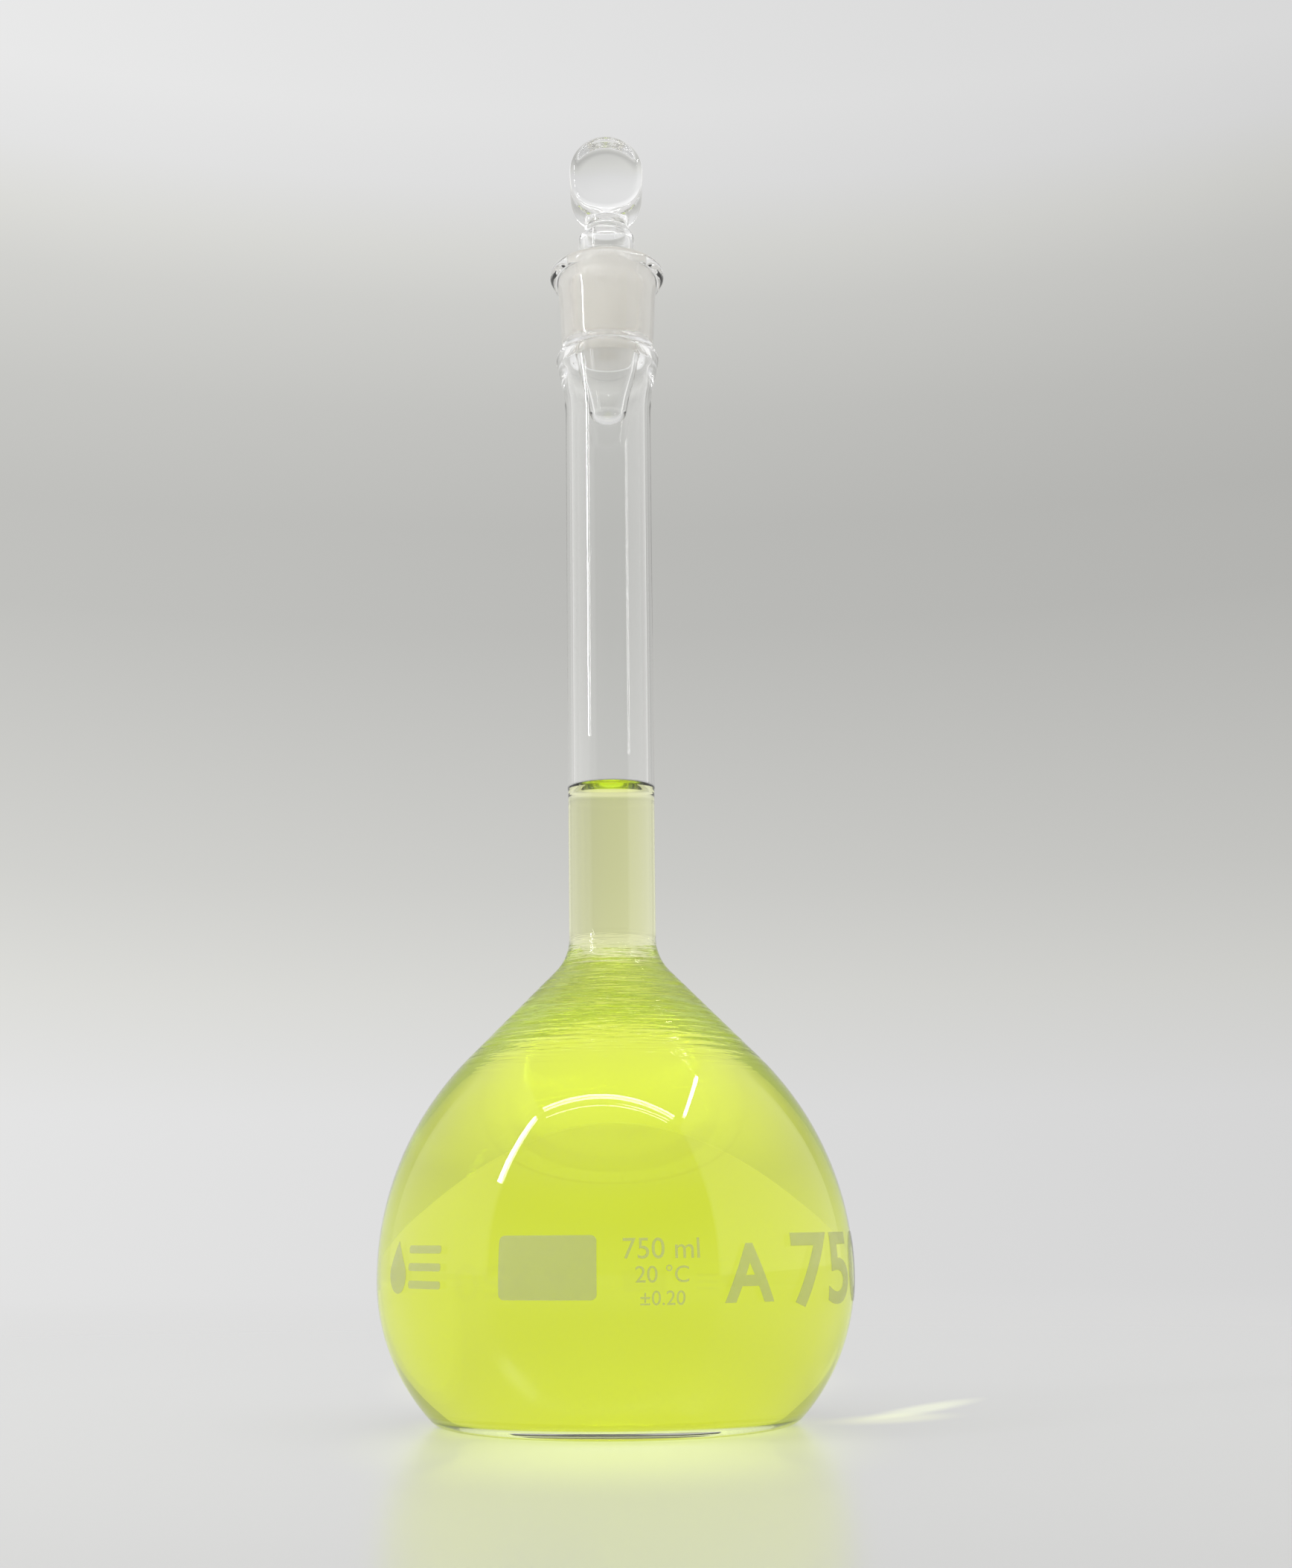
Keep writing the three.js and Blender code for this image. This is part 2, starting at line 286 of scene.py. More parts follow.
class Lathe:
    """Collects the rings of one or more turned surfaces, from an outline that runs up the
    outside and down the inside."""

    def __init__(self, steps=FLASK_STEPS):
        self.steps = steps
        self.verts = []
        self.faces = []
        self.marks = []

    def ring(self, points):
        """points: one point on the axis, or one for each step round it, in millimetres."""
        first = len(self.verts)
        self.verts += [(x * MM, y * MM, z * MM) for x, y, z in points]
        return list(range(first, len(self.verts)))

    def round_ring(self, radius, height):
        """A circle about the axis, or one point where it has no radius."""
        if radius < 1e-6:
            return self.ring([(0, 0, height)])
        turn = 2 * math.pi / self.steps
        return self.ring([(radius * math.cos(turn * i), radius * math.sin(turn * i), height)
                          for i in range(self.steps)])

    def join(self, lower, upper, mark=0):
        """Faces between two rings, where either can be a single point."""
        for i in range(self.steps):
            j = (i + 1) % self.steps
            if len(lower) == 1:
                face = (lower[0], upper[j], upper[i])
            elif len(upper) == 1:
                face = (lower[i], lower[j], upper[0])
            else:
                face = (lower[i], lower[j], upper[j], upper[i])
            self.faces.append(face)
            self.marks.append(mark)

    def turn(self, outline, is_ground=None):
        """A whole outline turned about the axis, with its ground faces marked."""
        rings = [self.round_ring(*point) for point in outline]
        for i in range(len(rings) - 1):
            middle = [(a + b) / 2 for a, b in zip(outline[i], outline[i + 1])]
            self.join(rings[i], rings[i + 1], int(bool(is_ground and is_ground(*middle))))


# ---- Materials ------------------------------------------------------------------

GLASS_IOR = 1.47
SOLUTION_IOR = 1.333
ENAMEL_IOR = 1.5
GROUND_ROUGHNESS = (0.5, 0.7)
ENAMEL_TONES = (0.42, 0.52)

# The heights in metres where the cone's ripples start, are full, fade and end
CONE_RIPPLES = (0.082, 0.094, 0.115, 0.121)


def new_material(name):
    """A material with a Principled shader, and its nodes, links and shader."""
    material = bpy.data.materials.new(name)
    material.use_nodes = True
    nodes = material.node_tree.nodes
    return material, nodes, material.node_tree.links, nodes["Principled BSDF"]


def object_noise(nodes, links, scale, detail, stretch=(1, 1, 1)):
    """A noise value in the object's own coordinates, in metres, stretched by a mapping."""
    coordinates = nodes.new("ShaderNodeTexCoord")
    mapping = nodes.new("ShaderNodeMapping")
    mapping.inputs["Scale"].default_value = stretch
    noise = nodes.new("ShaderNodeTexNoise")
    noise.inputs["Scale"].default_value = scale
    noise.inputs["Detail"].default_value = detail
    links.new(coordinates.outputs["Object"], mapping.inputs["Vector"])
    links.new(mapping.outputs["Vector"], noise.inputs["Vector"])
    return noise.outputs["Fac"]


def mapped(nodes, links, value, source=(0, 1), target=(0, 1), smooth=False):
    """A value moved from a source range to a target range, and held at their ends."""
    node = nodes.new("ShaderNodeMapRange")
    if smooth:
        node.interpolation_type = "SMOOTHSTEP"
    node.inputs["From Min"].default_value, node.inputs["From Max"].default_value = source
    node.inputs["To Min"].default_value, node.inputs["To Max"].default_value = target
    links.new(value, node.inputs["Value"])
    return node.outputs["Result"]


def multiplied(nodes, links, a, b):
    """The product of two values."""
    node = nodes.new("ShaderNodeMath")
    node.operation = "MULTIPLY"
    links.new(a, node.inputs[0])
    links.new(b, node.inputs[1])
    return node.outputs["Value"]


def length(nodes, links, vector):
    """How long a vector is."""
    node = nodes.new("ShaderNodeVectorMath")
    node.operation = "LENGTH"
    links.new(vector, node.inputs[0])
    return node.outputs["Value"]


def bump(nodes, links, height, distance, strength, below=None):
    """The normal of a surface raised by a height, over the normal of a bump below it."""
    node = nodes.new("ShaderNodeBump")
    node.inputs["Distance"].default_value = distance
    node.inputs["Strength"].default_value = strength
    links.new(height, node.inputs["Height"])
    if below:
        links.new(below, node.inputs["Normal"])
    return node.outputs["Normal"]


def between_heights(nodes, links, foot_out, foot_in, top_in, top_out):
    """A value that is 1 between two heights in metres and fades to 0 outside them."""
    coordinates = nodes.new("ShaderNodeTexCoord")
    split = nodes.new("ShaderNodeSeparateXYZ")
    links.new(coordinates.outputs["Object"], split.inputs["Vector"])
    height = split.outputs["Z"]
    return multiplied(nodes, links,
                      mapped(nodes, links, height, (foot_out, foot_in), smooth=True),
                      mapped(nodes, links, height, (top_out, top_in), smooth=True))


def clear_glass(name):
    """Blown borosilicate glass: clear, with the faint waves of hand work, and stronger
    ripples round the cone, where the bulb was drawn out into the neck."""
    material, nodes, links, shader = new_material(name)
    shader.inputs["Base Color"].default_value = (0.996, 0.998, 0.996, 1)
    shader.inputs["Transmission Weight"].default_value = 1
    shader.inputs["Roughness"].default_value = 0.0
    shader.inputs["IOR"].default_value = GLASS_IOR
    waves = object_noise(nodes, links, scale=25, detail=1, stretch=(1, 1, 0.35))
    wavy = bump(nodes, links, waves, distance=0.0006, strength=0.25)
    ripples = object_noise(nodes, links, scale=45, detail=3, stretch=(1, 1, 12))
    ripples = multiplied(nodes, links, ripples, between_heights(nodes, links, *CONE_RIPPLES))
    rippled = bump(nodes, links, ripples, distance=0.0009, strength=0.85, below=wavy)
    links.new(rippled, shader.inputs["Normal"])
    return material


def ground_glass(name):
    """The ground seat: a fine matt surface that still lets light through. Its faint glow
    stands for the light that the two ground faces scatter between them."""
    material, nodes, links, shader = new_material(name)
    shader.inputs["Base Color"].default_value = (0.99, 0.972, 0.925, 1)
    shader.inputs["Transmission Weight"].default_value = 0.6
    shader.inputs["Emission Color"].default_value = (1, 0.97, 0.9, 1)
    shader.inputs["Emission Strength"].default_value = 0.055
    shader.inputs["IOR"].default_value = GLASS_IOR
    wear = object_noise(nodes, links, scale=90, detail=3, stretch=(1, 1, 0.4))
    links.new(mapped(nodes, links, wear, target=GROUND_ROUGHNESS), shader.inputs["Roughness"])
    grain = object_noise(nodes, links, scale=2500, detail=2, stretch=(1, 1, 3))
    grainy = bump(nodes, links, grain, distance=0.00005, strength=0.4)
    links.new(grainy, shader.inputs["Normal"])
    return material


def yellow_solution(name):
    """A clear yellow-green solution: it absorbs blue, and colours with depth."""
    material, nodes, links, shader = new_material(name)
    shader.inputs["Base Color"].default_value = (1, 1, 1, 1)
    shader.inputs["Transmission Weight"].default_value = 1
    shader.inputs["Roughness"].default_value = 0.0
    shader.inputs["IOR"].default_value = SOLUTION_IOR
    absorb = nodes.new("ShaderNodeVolumeAbsorption")
    absorb.inputs["Color"].default_value = (0.962, 1.0, 0.0, 1)
    absorb.inputs["Density"].default_value = 32
    links.new(absorb.outputs["Volume"], nodes["Material Output"].inputs["Volume"])
    return material


def fired_enamel(name):
    """Translucent grey-white enamel, fired on, with a fine uneven print."""
    material, nodes, links, shader = new_material(name)
    shader.inputs["IOR"].default_value = ENAMEL_IOR
    shader.inputs["Roughness"].default_value = 0.5
    shader.inputs["Alpha"].default_value = 0.24
    unevenness = object_noise(nodes, links, scale=1400, detail=2)
    links.new(mapped(nodes, links, unevenness, target=ENAMEL_TONES), shader.inputs["Base Color"])
    return material


# ---- Flask --------------------------------------------------------------------

def socket_outside():
    """From the neck's top up to the lip."""
    lip = (LIP_RADIUS - LIP_ROUND, SOCKET_TOP - LIP_ROUND)
    bulge = (BULGE_RADIUS - BULGE_ROUND, BULGE_HEIGHT)
    return [
        (NECK_RADIUS, NECK_TOP),
        *[(NECK_RADIUS + step, height) for step, height in SOCKET_FLARE],
        *arc(bulge, BULGE_ROUND, -28, 50, 12),
        *SOCKET_SIDE,
        *arc(lip, LIP_ROUND, -45, 90, 20),
    ]


def socket_inside():
    """From the lip down to the neck's bore."""
    inner = (seat_radius(SOCKET_TOP) + LIP_INNER_ROUND, SOCKET_TOP - LIP_INNER_ROUND)
    bulge = (BULGE_BORE - BULGE_BORE_ROUND, BULGE_HEIGHT)
    return [
        *arc(inner, LIP_INNER_ROUND, 90, 180, 6),
        (seat_radius(SEAT_FOOT), SEAT_FOOT),
        (seat_radius(SEAT_FOOT) + SEAT_FOOT_STEP, SEAT_FOOT - SEAT_FOOT_DROP),
        *arc(bulge, BULGE_BORE_ROUND, 55, -36, 12),
        *[(NECK_BORE + step, height) for step, height in SOCKET_BORE_FLARE[::-1]],
        (NECK_BORE, NECK_TOP),
    ]


def in_seat(radius, height):
    """Whether a place on the flask is in the socket's ground seat."""
    return SEAT_FOOT < height < SOCKET_TOP - GROUND_MARGIN and radius < SEAT_RADIUS_TOP


def flask_glass(clear, ground):
    """The bulb, the neck and the socket as one wall of glass, clear but for the seat."""
    outside = dished(PUNT_RADIUS, PUNT_RADIUS + 1, PUNT_HEIGHT, 0)
    outside += bulb_side(0, 0, FOOT_FILLET, NECK_RADIUS) + socket_outside()
    floor = dished(PUNT_RADIUS, PUNT_RADIUS + 1, PUNT_HEIGHT / 2, FLOOR_GLASS)
    inside = floor + bulb_side(BULB_WALL, FLOOR_GLASS, FLOOR_FILLET, NECK_BORE, INNER_CONE_FILLET)
    outline = outside + socket_inside() + inside[::-1]
    lathe = Lathe()
    lathe.turn(divided(outline, FLASK_STRETCH), in_seat)
    return new_object("flask_glass", lathe.verts, lathe.faces, [clear, ground], lathe.marks)


# ---- Stopper --------------------------------------------------------------------

def stopper_outside():
    """The round part of the stopper from its tail up into the head."""
    tail = (0, TAIL_FOOT + TAIL_ROUND)
    plug_top = seat_radius(PLUG_TOP) - SEAT_GAP
    return [
        *arc(tail, TAIL_RADIUS, -90, 0, 20, TAIL_ROUND / TAIL_RADIUS),
        *TAIL_FLARE,
        (seat_radius(SEAT_FOOT) - SEAT_GAP, SEAT_FOOT),
        *shoulder(plug_top, PLUG_EDGE, PLUG_EDGE_ROUND, 5),
        *fillet(COLLAR_RADIUS, COLLAR_FOOT, COLLAR_FILLET, 4),
        *shoulder(COLLAR_RADIUS, COLLAR_EDGE, COLLAR_ROUND, 5),
        *fillet(HEAD_NECK_RADIUS, HEAD_NECK_FOOT, HEAD_NECK_FILLET, 5),
        (HEAD_NECK_RADIUS, HEAD_NECK_TOP),
    ]


def stopper_hollow():
    """The stopper's inside, from its tail up to a dome in the stem."""
    tail = (0, TAIL_FOOT + TAIL_ROUND)
    hollow = TAIL_RADIUS - STOPPER_WALL
    collar = COLLAR_RADIUS - STOPPER_WALL
    dome = HEAD_NECK_RADIUS - STOPPER_WALL
    return [
        *arc(tail, hollow, -90, 0, 20, (TAIL_ROUND - STOPPER_WALL) / hollow),
        *[(radius - STOPPER_WALL, height) for radius, height in TAIL_FLARE],
        (seat_radius(SEAT_FOOT) - SEAT_GAP - STOPPER_WALL, SEAT_FOOT),
        *shoulder(HOLLOW_RADIUS, HOLLOW_EDGE, HOLLOW_ROUND, 4),
        *fillet(collar, HOLLOW_COLLAR_FOOT, COLLAR_FILLET, 4),
        *shoulder(collar, HOLLOW_COLLAR_EDGE, COLLAR_ROUND, 4),
        *arc((0, HOLLOW_TOP - dome), dome, 0, 90, 12),
    ]


def head_face(spread):
    """How far the head's face is from its middle plane, where spread goes from 0 in the disc's
    middle to 1 at its rim: slightly crowned, with a rounded rim."""
    crown = HEAD_CROWN * spread * spread
    over = max(0.0, spread - HEAD_FLAT) / (1 - HEAD_FLAT)
    rim = HEAD_RIM_DEPTH * (1 - math.sqrt(max(0.0, 1 - over * over)))
    return HEAD_HALF_THICKNESS - crown - rim


def head_reach(angle, height):
    """How far the flat head's surface is from the axis, at an angle and a height, found by
    halving a search between the axis and a place outside the head."""
    if height > HEAD_CENTRE:
        power, size = HEAD_ROUNDNESS, HEAD_RADIUS
    else:
        power, size = HEAD_FULLNESS, HEAD_DROP
    rise = min(1.0, abs(height - HEAD_CENTRE) / size) ** power
    across, along = abs(math.cos(angle)) / HEAD_RADIUS, abs(math.sin(angle))
    low, high = 0.0, HEAD_RADIUS * 1.5
    for _ in range(HALVINGS):
        r = (low + high) / 2
        spread = ((r * across) ** power + rise) ** (1 / power)
        inside = spread < 1 and r * along < head_face(spread)
        low, high = (r, high) if inside else (low, r)
    return low


def blended(a, b, width):
    """The larger of two lengths, with a fillet where they're nearly the same."""
    share = min(1.0, max(0.0, 0.5 + 0.5 * (a - b) / width))
    return b + (a - b) * share + width * share * (1 - share)


def stem_reach(height):
    """The stem runs up into the head and closes there as a dome."""
    rise = (height - HEAD_NECK_TOP) / STEM_DOME
    if rise <= 0:
        return HEAD_NECK_RADIUS
    return HEAD_NECK_RADIUS * math.sqrt(max(0.0, 1 - rise * rise)) - STEM_SINK * rise


def head_ring(lathe, height):
    """A ring round the head and the stem inside it, at a height."""
    points = []
    for i in range(lathe.steps):
        angle = 2 * math.pi * i / lathe.steps
        r = blended(head_reach(angle, height), stem_reach(height), HEAD_FILLET)
        points.append((r * math.cos(angle), r * math.sin(angle), height))
    return lathe.ring(points)


def in_plug(radius, height):
    """Whether a place on the stopper is in its plug's ground face."""
    return (PLUG_GROUND_FOOT < height < SOCKET_TOP - GROUND_MARGIN
            and radius > PLUG_GROUND_RADIUS)


def head_heights():
    """The heights of the head's rings, closer together towards its foot and its top."""
    heights = []
    for i in range(HEAD_STEPS):
        angle = math.pi * ((i + 0.5) / HEAD_STEPS - 0.5)
        size = HEAD_RADIUS if angle > 0 else HEAD_DROP
        heights.append(HEAD_CENTRE + size * math.sin(angle))
    return heights


def stopper_glass(clear, ground):
    """The whole stopper: its round part up to the head's foot, the head, and the hollow."""
    lathe = Lathe(STOPPER_STEPS)
    head_foot = HEAD_CENTRE - HEAD_DROP
    outline = [point for point in divided(stopper_outside(), STOPPER_STRETCH)
               if point[1] <= head_foot]
    rings = [lathe.round_ring(*point) for point in outline]
    marks = [int(in_plug(*point)) for point in outline]
    for height in head_heights():
        if height > outline[-1][1] + RING_CLEARANCE:
            rings.append(head_ring(lathe, height))
            marks.append(0)
    rings.append(lathe.ring([(0, 0, HEAD_CENTRE + HEAD_RADIUS)]))
    for lower, upper, mark in zip(rings, rings[1:], marks):
        lathe.join(lower, upper, mark)
    lathe.turn(divided(stopper_hollow(), STOPPER_STRETCH)[::-1])
    return new_object("stopper_glass", lathe.verts, lathe.faces, [clear, ground], lathe.marks)


# ---- Solution -------------------------------------------------------------------

def meniscus(radius):
    """The surface, from the wall in to the axis: it climbs more steeply towards the glass."""
    points = []
    full = math.cosh(radius / CAPILLARY_LENGTH) - 1
    for i in range(MENISCUS_STEPS):
        r = radius * math.sin(math.pi / 2 * (1 - i / MENISCUS_STEPS))
        climb = (math.cosh(r / CAPILLARY_LENGTH) - 1) / full
        points.append((r, FILL_HEIGHT + MENISCUS_CLIMB * climb))
    return points + [(0, FILL_HEIGHT)]


def solution_body(finish):
    """The solution, which overlaps the wall slightly, so that no air shows between them."""
    inset = BULB_WALL - WALL_OVERLAP
    floor = FLOOR_GLASS - WALL_OVERLAP
    radius = NECK_BORE + WALL_OVERLAP
    outline = dished(PUNT_RADIUS, PUNT_RADIUS + 1, PUNT_HEIGHT / 2, floor)
    outline += bulb_side(inset, floor, FLOOR_FILLET, radius, INNER_CONE_FILLET) + meniscus(radius)
    lathe = Lathe()
    lathe.turn(divided(outline, FLASK_STRETCH))
    return new_object("solution_body", lathe.verts, lathe.faces, [finish])


# ---- Enamel -----------------------------------------------------------------------

def enamel_ring(finish):
    """The graduation ring round the neck."""
    inner = NECK_RADIUS + ENAMEL_LIFT
    outer = inner + ENAMEL_THICKNESS
    low, high = MARK_HEIGHT - RING_WIDTH / 2, MARK_HEIGHT + RING_WIDTH / 2
    lathe = Lathe()
    lathe.turn([(inner, low), (outer, low), (outer, high), (inner, high), (inner, low)])
    return new_object("enamel_ring", lathe.verts, lathe.faces, [finish])


def bulb_radius(height):
    """The outside radius of the bulb at a height, where it is printed."""
    size = LOWER_ARC if height < WIDEST_HEIGHT else UPPER_ARC
    return BULB_RADIUS - size + math.sqrt(size ** 2 - (height - WIDEST_HEIGHT) ** 2)


def rounded_bar(x, y, width, height, corner):
    """A rectangle with round corners about a centre, as points."""
    dx, dy = width / 2 - corner, height / 2 - corner
    points = []
    for quarter, (sx, sy) in enumerate([(1, 1), (-1, 1), (-1, -1), (1, -1)]):
        points += arc((x + sx * dx, y + sy * dy), corner, 90 * quarter, 90 * quarter + 90, 6)
    return points


def droplet(x, y, radius, height):
    """A drop with a round foot and a point above it, as points."""
    tip = height - radius
    touch = math.degrees(math.acos(radius / tip))
    return arc((x, y), radius, 90 + touch, 450 - touch, 30) + [(x, y + tip)]


def flat_shapes(outlines):
    """Outlines as flat faces."""
    mesh = bmesh.new()
    for outline in outlines:
        mesh.faces.new([mesh.verts.new((x, y, 0)) for x, y in outline])
    return mesh


def flat_text(lines):
    """Lines of (text, letter height, middle x, foot y, boldness, width share) as flat faces."""
    mesh = bmesh.new()
    for text, height, x, y, bold, width in lines:
        curve = bpy.data.curves.new("lettering", "FONT")
        curve.body = text
        curve.align_x = "CENTER"
        curve.size = height / CAPITAL_SHARE
        curve.offset = bold
        curve.resolution_u = LETTER_CURVE_STEPS
        letters = bpy.data.objects.new("lettering", curve)
        bpy.context.scene.collection.objects.link(letters)
        bpy.context.view_layer.update()
        flat = bpy.data.meshes.new_from_object(letters)
        flat.transform(Matrix.Translation((x, y, 0)) @ Matrix.Diagonal((width, 1, 1, 1)))
        mesh.from_mesh(flat)
        bpy.data.objects.remove(letters)
        bpy.data.curves.remove(curve)
        bpy.data.meshes.remove(flat)
    bmesh.ops.remove_doubles(mesh, verts=mesh.verts, dist=MERGE_DISTANCE)
    return mesh


def cut_into_grid(mesh, axis, step):
    """Cuts flat faces along lines a step apart, so that they can bend."""
    places = [v.co[axis] for v in mesh.verts]
    normal = Vector((axis == 0, axis == 1, 0))
    line = math.ceil(min(places) / step) * step
    while line < max(places):
        geometry = mesh.verts[:] + mesh.edges[:] + mesh.faces[:]
        bmesh.ops.bisect_plane(mesh, geom=geometry, plane_co=normal * line, plane_no=normal)
        line += step


def wrapped(name, mesh, angle, finish):
    """Bends flat faces round the bulb at an angle from the front, and thickens them."""
    cut_into_grid(mesh, 0, BEND_STEP)
    cut_into_grid(mesh, 1, RISE_STEP)
    for vert in mesh.verts:
        turn = math.radians(angle - 90) + vert.co.x / BULB_RADIUS
        height = PRINT_HEIGHT + vert.co.y
        radius = bulb_radius(height) + ENAMEL_LIFT
        vert.co = Vector((radius * math.cos(turn), radius * math.sin(turn), height)) * MM
    bmesh.ops.recalc_face_normals(mesh, faces=mesh.faces)
    for face in mesh.faces:
        middle = face.calc_center_median()
        if face.normal.dot(Vector((middle.x, middle.y, 0))) < 0:
            face.normal_flip()
    mesh.normal_update()
    outwards = [vert.normal.copy() for vert in mesh.verts]
    twin = bmesh.ops.duplicate(mesh, geom=mesh.faces[:])["vert_map"]
    originals = mesh.verts[:len(outwards)]
    for vert, outward in zip(originals, outwards):
        twin[vert].co = vert.co + outward * ENAMEL_THICKNESS * MM
    rims = [edge for edge in mesh.edges
            if edge.is_boundary and edge.verts[0] in twin and edge.verts[0].index < len(outwards)]
    for edge in rims:
        a, b = edge.link_loops[0].vert, edge.link_loops[0].link_loop_next.vert
        mesh.faces.new((b, a, twin[a], twin[b]))
    return finish_print(name, mesh, finish)


def finish_print(name, mesh, finish):
    """A print's object, from its closed mesh."""
    bmesh.ops.recalc_face_normals(mesh, faces=mesh.faces)
    data = bpy.data.meshes.new(name)
    mesh.to_mesh(data)
    mesh.free()
    data.materials.append(finish)
    piece = bpy.data.objects.new(name, data)
    bpy.context.scene.collection.objects.link(piece)
    return piece


# ---- Set, lights and camera -------------------------------------------------------

# Camera: places in metres, turns in degrees, lens and sensor in millimetres
CAMERA_DISTANCE = 0.52
CAMERA_HEIGHT = 0.049
CAMERA_PITCH = 5.94
CAMERA_ROLL = 0.49
CAMERA_LENS = 48.4
CAMERA_SENSOR = 36
CAMERA_SHIFT = (0.021, 0.139)
CAMERA_CLIP = (0.01, 20)

# Tent, in metres, with its mesh's longest stretch in millimetres. Its glow changes with
# the height, by (share of the height, level), is warmer where it is dim, and is brighter
# on the left than on the right. FLOOR_FADE is how far out the floor turns into glow.
TENT_RADIUS = 1.4
TENT_WALL = 1.3
TENT_FILLET = 0.35
TENT_TOP = 2.4
TENT_STEPS = 96
TENT_STRETCH = 60
TENT_LEVELS = [
    (0.0, 0.71), (0.06, 0.715), (0.105, 0.665), (0.15, 0.59), (0.2, 0.54), (0.25, 0.49),
    (0.29, 0.485), (0.335, 0.525), (0.38, 0.595), (0.404, 0.655), (0.43, 0.71), (0.46, 0.745),
    (0.52, 0.74), (0.6, 0.85), (1.0, 1.1),
]
WARM_BELOW = 0.7
WARM_BLUE = 0.965
TENT_SIDES = (-0.6, 0.6)
TENT_SIDE_LEVELS = (1.1, 0.93)
FLOOR_FADE = (0.35, 1.0)

# Light box, in millimetres: the corners of its walls seen from above, and their heights
BOX_FRONT_LEFT, BOX_FRONT_RIGHT = (-339, -205), (336, -312)
BOX_BACK_LEFT, BOX_BACK_RIGHT = (-339, 283), (336, 283)
BOX_OPENING_LEFT, BOX_OPENING_RIGHT = (-339, -220), (336, -327)
BOX_HEIGHTS = (45, 609)
BOX_BACK_HEIGHTS = (1, 155)
BOX_COLOUR = (1, 0.995, 0.98, 1)
BOX_WALL_RADIANCE = 0.95
BOX_CEILING_RADIANCE = 0.7
BOX_OPENING_RADIANCE = 0.42
BOX_BACK_RADIANCE = 0.77

# Lamp tubes round the light box's opening: name, both ends and width in millimetres, and
# radiance. They face a place on the axis, at a height in metres.
LAMPS = [
    ("lamp_left", (-336, -192, 256), (-336, -197, 560), 17, 40),
    ("lamp_top", (-317, -195, 605), (283, -272, 605), 10, 16),
    ("lamp_top_front", (-320, -237, 605), (261, -307, 605), 4, 14),
    ("lamp_right", (331, -239, 605), (325, 16, 605), 13, 24),
]
LAMP_AIM = 0.1

# Light that the flask throws on the floor: soft ovals, as middle and half size in
# millimetres, turn in degrees, and the colour that each adds. Each is full inside its core,
# which is a share of its size.
FLOOR_LIGHT = 0.24
PATCH_CORE = 0.2
FLOOR_PATCHES = [
    ((0, 185), (80, 215), 0, (0.33, 0.34, 0.15)),
    ((0, 0), (54, 58), 0, (0.3, 0.36, 0.05)),
    ((0, -40), (68, 105), 0, (0.18, 0.215, 0.02)),
    ((80, 35), (44, 8), 59, (0.17, 0.19, 0.07)),
    ((68, 8), (26, 14), 40, (0.12, 0.13, 0.03)),
]

# Enough bounces for light to get through every wall of glass
BOUNCES = 24
GLOSSY_BOUNCES = 12


def floor_glow(nodes, links, coordinates):
    """The floor's own light, and the ovals of light that the flask throws on it."""
    total = nodes.new("ShaderNodeCombineXYZ")
    for i in range(3):
        total.inputs[i].default_value = FLOOR_LIGHT
    total = total.outputs["Vector"]
    for middle, half_size, turn, colour in FLOOR_PATCHES:
        mapping = nodes.new("ShaderNodeMapping")
        mapping.vector_type = "TEXTURE"
        mapping.inputs["Location"].default_value = (middle[0] * MM, middle[1] * MM, 0)
        mapping.inputs["Rotation"].default_value = (0, 0, math.radians(turn))
        mapping.inputs["Scale"].default_value = (half_size[0] * MM, half_size[1] * MM, 1)
        links.new(coordinates, mapping.inputs["Vector"])
        distance = length(nodes, links, mapping.outputs["Vector"])
        fade = mapped(nodes, links, distance, (1, PATCH_CORE), smooth=True)
        patch = nodes.new("ShaderNodeVectorMath")
        patch.operation = "MULTIPLY_ADD"
        patch.inputs[0].default_value = colour
        links.new(fade, patch.inputs[1])
        links.new(total, patch.inputs[2])
        total = patch.outputs["Vector"]
    return total


def tent_colour(nodes, links, height):
    """The colour of the tent's walls at a height in metres."""
    ramp = nodes.new("ShaderNodeValToRGB")
    stops = ramp.color_ramp.elements
    for share, level in TENT_LEVELS[1:-1]:
        stops.new(share)
    for stop, (share, level) in zip(stops, TENT_LEVELS):
        stop.position = share
        warmth = 1 if level > WARM_BELOW else WARM_BLUE
        stop.color = (level, level, level * warmth, 1)
    links.new(mapped(nodes, links, height, (0, TENT_TOP)), ramp.inputs["Fac"])
    return ramp.outputs["Color"]


def tent_walls(nodes, links, coordinates):
    """The glowing cloth of the tent's walls."""
    split = nodes.new("ShaderNodeSeparateXYZ")
    links.new(coordinates, split.inputs["Vector"])
    glow = nodes.new("ShaderNodeEmission")
    links.new(tent_colour(nodes, links, split.outputs["Z"]), glow.inputs["Color"])
    strength = mapped(nodes, links, split.outputs["X"], TENT_SIDES, TENT_SIDE_LEVELS)
    links.new(strength, glow.inputs["Strength"])
    return glow.outputs["Emission"]


def tent_material():
    """A white studio tent: a slightly glossy floor that turns into glowing cloth walls."""
    material, nodes, links, shader = new_material("studio_tent")
    shader.inputs["Base Color"].default_value = (0.3, 0.3, 0.3, 1)
    shader.inputs["Roughness"].default_value = 0.24
    shader.inputs["Specular IOR Level"].default_value = 0.8
    shader.inputs["Emission Strength"].default_value = 1
    coordinates = nodes.new("ShaderNodeTexCoord").outputs["Object"]
    links.new(floor_glow(nodes, links, coordinates), shader.inputs["Emission Color"])
    distance = length(nodes, links, coordinates)
    mix = nodes.new("ShaderNodeMixShader")
    links.new(mapped(nodes, links, distance, FLOOR_FADE, smooth=True), mix.inputs["Fac"])
    links.new(shader.outputs["BSDF"], mix.inputs[1])
    links.new(tent_walls(nodes, links, coordinates), mix.inputs[2])
    links.new(mix.outputs["Shader"], nodes["Material Output"].inputs["Surface"])
    return material


